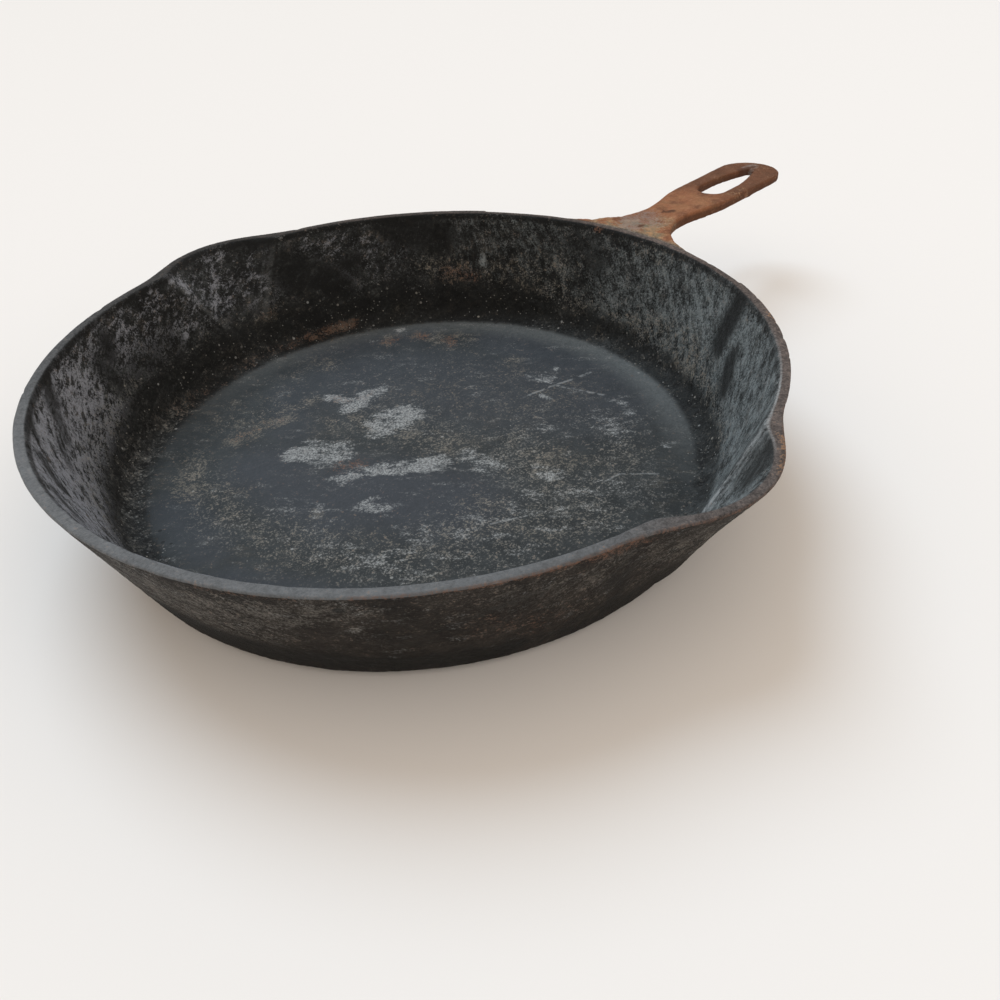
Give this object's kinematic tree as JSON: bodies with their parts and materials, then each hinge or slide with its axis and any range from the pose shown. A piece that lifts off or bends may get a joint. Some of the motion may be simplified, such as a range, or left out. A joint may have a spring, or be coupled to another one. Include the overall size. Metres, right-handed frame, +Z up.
{
  "type": "burnt frying pan",
  "caption": "Cast iron frying pan with pouring spouts and a flat handle with a hanging eye, burnt black inside and rusted along the handle and rim.",
  "frame": {"origin": "middle of the flat underside, on the surface the pan stands on", "axes": "+X from the middle of the bowl towards the handle's tip, +Z up, spouts along +Y and -Y"},
  "size_m": [0.3922, 0.287, 0.051],
  "materials": {
    "iron": "matte burnt iron, slate grey on the floor, sooty on the wall, rust brown on the handle and rim"
  },
  "bodies": {
    "root": {"skillet": "iron"}
  },
  "joints": []
}
